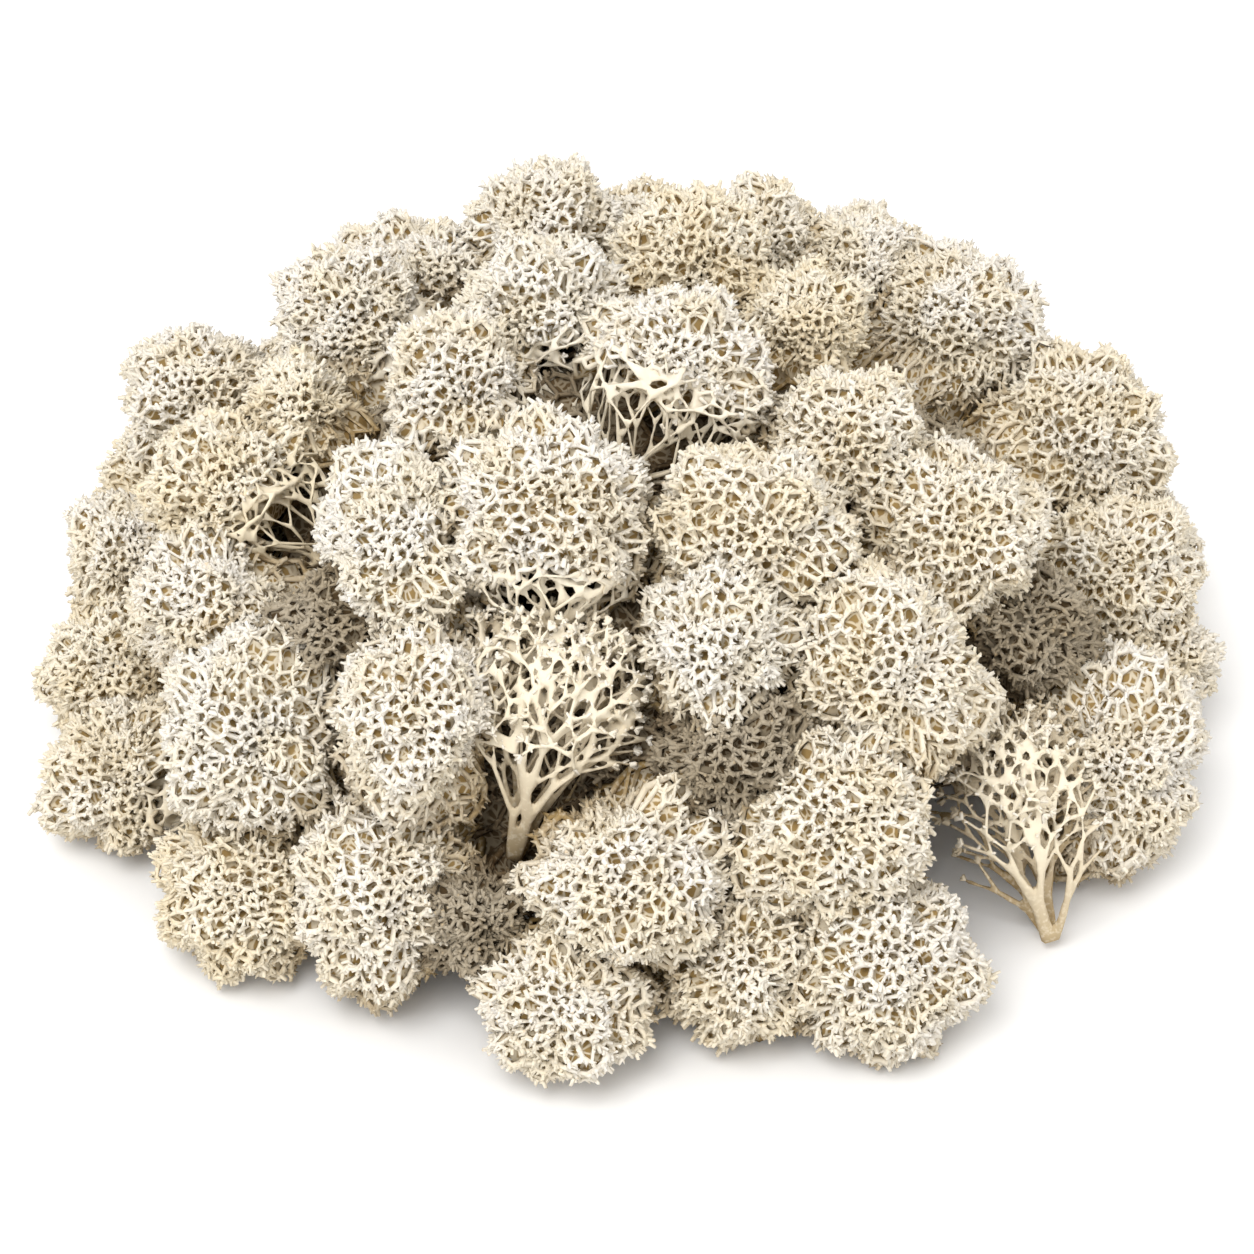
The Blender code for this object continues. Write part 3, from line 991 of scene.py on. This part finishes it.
def limbs_block(limbs, laid, openness_at, aging_at):
    """Limbs of a drawing, laid on their sheet and melted together."""
    bm = bmesh.new()
    for start, end, start_radius, end_radius in limbs:
        first, last = laid(start), laid(end)
        if (last - first).length > LEAST_LENGTH:
            add_limb(bm, first, last, start_radius, end_radius)
    body = melted(bm)
    openness = [openness_at(v.co) for v in body.verts]
    aging = [aging_at(v.co) for v in body.verts]
    return block_of(body, openness, aging)


trial_skin = limbs_block(trial_limbs, Vector, lambda place: 1.0, lambda place: 0.0)
print("triangles of those limbs:", len(trial_skin[1]))

# %% [markdown]
# ## The two fronds
# Each frond's foot, lean and size follow the photograph. A flat sheet would look like a leaf
# pressed in a book, so the sheet bulges towards the camera, and two more layers of limbs lie
# behind the first one.

# %% Frond sizes
TRUNK = 0.3                 # height of the trunk, in lengths of the frond
CROWN_MIDDLE = 0.60         # height of the crown's middle
CROWN_HALF = 0.40           # half the height of the crown
LEAST_HEIGHT = 0.8 * MM     # limbs lie no lower than this above the floor


class Frond:
    def __init__(self, foot, lean, length, width, bulge, stems, stem_radius):
        self.foot = Vector(foot) * MM
        self.lean = math.radians(lean)
        self.length = length * MM
        self.width = width * MM
        self.bulge = bulge * MM
        self.stems = stems
        self.stem_radius = stem_radius * MM

    def inside(self, spot):
        """Whether the frond still grows here: below is its trunk and above its oval crown."""
        x, y = spot.x, spot.y
        if y < TRUNK * self.length:
            return abs(x) < self.width * (0.15 + 2.4 * y / self.length)
        u = x / self.width
        v = (y - CROWN_MIDDLE * self.length) / (CROWN_HALF * self.length)
        return u * u + v * v < 1

    def laid(self, spot):
        """From the flat drawing to the curved sheet in the heap."""
        x, y, out = spot
        right = x * math.cos(self.lean) + y * math.sin(self.lean)
        up = y * math.cos(self.lean) - x * math.sin(self.lean)
        forward = self.bulge * math.sin(0.78 * math.pi * min(1.15, y / self.length))
        forward += out - 0.35 * self.bulge * (x / self.width) ** 2
        place = self.foot + SCREEN_RIGHT * right + SCREEN_UP * up + to_camera * forward
        place.z = max(place.z, LEAST_HEIGHT)
        return place


FRONDS = {
    "flank_fan_front": Frond(foot=(-21.5, -75.2, 25.8), lean=12, length=53, width=15.5,
                             bulge=20, stems=(-8, 2, 12), stem_radius=0.85),
    "foot_fan_right": Frond(foot=(78.5, -72.5, 2.2), lean=-13, length=50, width=12.0,
                            bulge=15, stems=(-12, -2, 8), stem_radius=0.95),
}
print("lengths of the fronds in mm:", [round(frond.length / MM) for frond in FRONDS.values()])

# %% Building a frond
LAYERS = (0, -4.5 * MM, -9 * MM)
# painted shade: the layers behind the first one get less openness, so they are painted darker
FRONT_OPENNESS = 0.4        # of the tips on the first layer
BACK_OPENNESS = 0.2         # of the tips on the layers behind it
FROND_STEP = 0.17           # length of the first limbs, in lengths of the frond
THICK = 0.75 * MM           # thicker limbs have no tips
UPPER = 0.7                 # height from which limbs have more tips
END_TIPS = 6
BEHIND = 4 * MM             # how far behind the foot the darkest limbs are


def tip_limb(tips, first, last, number, openness, draw):
    for _ in range(number):
        way = (to_camera * 0.5 + SCREEN_UP * 0.4 + any_way(draw) * 0.9).normalized()
        root = first.lerp(last, draw.random())
        tips.add(root, way, TIP_LENGTH * draw.uniform(0.6, 1.0), openness)


def build_frond(frond, draw):
    all_limbs = []
    tips = Tips(draw)
    for layer in LAYERS:
        openness = FRONT_OPENNESS if layer == 0 else BACK_OPENNESS
        limbs, ends = draw_frond(frond.stems, frond.stem_radius, FROND_STEP * frond.length,
                                 frond.inside, layer, draw)
        all_limbs += limbs
        for start, end, start_radius, _ in limbs:
            if start_radius < THICK and start.y > TRUNK * frond.length:
                number = 3 if start.y > UPPER * frond.length else 1
                tip_limb(tips, frond.laid(start), frond.laid(end), number, openness, draw)
        for end, heading in ends:
            for _ in range(END_TIPS):
                turn = heading + frond.lean + draw.uniform(-1.0, 1.0)
                way = SCREEN_RIGHT * math.sin(turn) + SCREEN_UP * math.cos(turn)
                way = (way + to_camera * draw.uniform(-0.5, 0.8)).normalized()
                tips.add(frond.laid(end), way, TIP_LENGTH * draw.uniform(0.6, 1.2), openness)

    # painted shade: the limbs darken from the bulge towards the back of the frond
    def openness_at(place):
        forward = (place - frond.foot).dot(to_camera) + BEHIND
        return min(0.30, max(0.05, 0.33 * forward / (frond.bulge + BEHIND)))

    def aging_at(place):
        height = (place - frond.foot).dot(SCREEN_UP)
        return 1 - 0.3 * smooth_step(height / frond.length, 0.2, 0.8)

    return [limbs_block(all_limbs, frond.laid, openness_at, aging_at), tips.block()]


print("layers of limbs in a frond:", len(LAYERS))

# %% [markdown]
# ## Stems of the open heads
# Seven heads show the stems that carry their crown. Separate straight stems would look like
# spokes, so the fronds' drawing is used again. Here it is laid on a cone that rises from the
# head's foot to the rim of its crown, with its middle towards the camera.

# %% Building the stems of a head
STEMS = (-32, -16, 0, 16, 32)
STEM_RADIUS = 0.6 * MM
STEM_STEP = 0.3             # length of the first limbs, as a share of the way to the rim
STEM_LAYERS = (0, -4 * MM)
WRAP = 2.3                  # how much wider than drawn the stems spread round the head
STEM_BULGE = 0.12           # how far they bow outwards, as a share of the way to the rim
STEM_TIPS = 3
STEM_TIP_OPENNESS = 0.6


def build_stems(head, draw):
    foot = head.look.foot
    front = (to_camera - foot * to_camera.dot(foot)).normalized()
    side = foot.cross(front)
    foot_place = head.middle + foot * head.radius * head.look.stretch
    rim_center = head.middle + foot * head.radius * math.cos(head.look.rim)
    length = math.hypot((foot_place - rim_center).length, head.radius * math.sin(head.look.rim))
    tips = Tips(draw)

    def laid(spot):
        x, y, out = spot
        share = min(1.2, math.hypot(x, y) / length)
        turn = WRAP * math.atan2(x, y)
        around = front * math.cos(turn) + side * math.sin(turn)
        rim_way = foot * math.cos(head.look.rim) + around * math.sin(head.look.rim)
        rim = head.middle + rim_way * (head.surface(rim_way) - 0.5 * MM)
        bulge = around * (math.sin(math.pi * min(1.0, share)) * STEM_BULGE * length + out)
        return foot_place.lerp(rim, share) + bulge

    def inside(spot):
        return math.hypot(spot.x, spot.y) < length

    all_limbs = []
    for layer in STEM_LAYERS:
        limbs, ends = draw_frond(STEMS, STEM_RADIUS, STEM_STEP * length, inside, layer, draw)
        all_limbs += limbs
        for end, _ in ends:
            for _ in range(STEM_TIPS):
                way = (any_way(draw) + (laid(end) - head.middle).normalized()).normalized()
                tips.add(laid(end), way, TIP_LENGTH, STEM_TIP_OPENNESS)

    def risen(place):
        return min(1.0, (place - foot_place).length / length)

    # painted shade: the stems darken towards their foot, under the crown
    def openness_at(place):
        return 0.14 + 0.3 * risen(place)

    def aging_at(place):
        return 1 - 0.5 * risen(place)

    return [limbs_block(all_limbs, laid, openness_at, aging_at), tips.block()]


print("stems of an open head:", len(STEMS) * len(STEM_LAYERS))

# %% [markdown]
# ## All heads
# Each head becomes one piece, which stands for its solid and takes that solid's material slot.
# Its strands, tips and inner body could be pieces of their own, but they never part, and one
# mesh for each head keeps the heap simple to use. Where a head would leave the frame's box, its
# outermost part is squeezed a little, because cutting it off would leave a flat face.

# %% Joining the blocks
SQUEEZED = 15 * MM          # depth of the part of a head that may be squeezed


def keep_inside(corners):
    """Squeeze the outermost part of a head where it would leave the frame's box."""
    for axis in range(3):
        for sign, limit in ((1, cad_box[1][axis]), (-1, -cad_box[0][axis])):
            beyond = (sign * corners[:, axis]).max() - limit
            if beyond > 0:
                begin = limit + beyond - SQUEEZED
                weight = np.clip((sign * corners[:, axis] - begin) / SQUEEZED, 0, 1)
                corners[:, axis] -= sign * beyond * weight


def make_piece(name, blocks, material):
    corners = np.vstack([block[0] for block in blocks])
    keep_inside(corners)
    offsets = np.cumsum([0] + [len(block[0]) for block in blocks[:-1]])
    faces = np.vstack([block[1] + offset for block, offset in zip(blocks, offsets)])
    values = np.vstack([block[2] for block in blocks]).astype(np.float32)
    mesh = bpy.data.meshes.new(name)
    mesh.from_pydata(corners.tolist(), [], faces.tolist())
    layer = mesh.attributes.new("tissue", "FLOAT_COLOR", "POINT")
    layer.data.foreach_set("color", values.ravel())
    mesh.materials.append(material)
    mesh.shade_smooth()
    piece = bpy.data.objects.new(name, mesh)
    bpy.context.scene.collection.objects.link(piece)
    return piece


def head_blocks(name, node, draw):
    if name in FRONDS:
        return build_frond(FRONDS[name], draw)
    head = Head(node, look_of(name), draw)
    net, info = make_net(head, draw)
    blocks = [make_core(head, draw)]
    if len(net.faces):
        blocks += grow_tips(net, info, head, draw)
        blocks.append(make_cups(net, head))
        blocks.append(make_strands(net, info, draw))
    if head.look.foot:
        blocks += build_stems(head, draw)
    return blocks


print("depth that may be squeezed in mm:", round(SQUEEZED / MM))

# %% Growing all heads
FIRST_SEED = 1000

total = 0
for number, (node_name, node) in enumerate(sorted(nodes.items())):
    draw = random.Random(FIRST_SEED + number)
    slot = slot_of[node_name]
    piece = make_piece(node_name + "_lichen", head_blocks(node_name, node, draw), materials[slot])
    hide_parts(node_name)
    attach(piece, "root")
    total += len(piece.data.polygons)
    print(node_name, "triangles:", len(piece.data.polygons))
print("triangles in all:", total)

# %% Sizes and finish
print("cad box", [tuple(round(c, 4) for c in corner) for corner in cad_box])
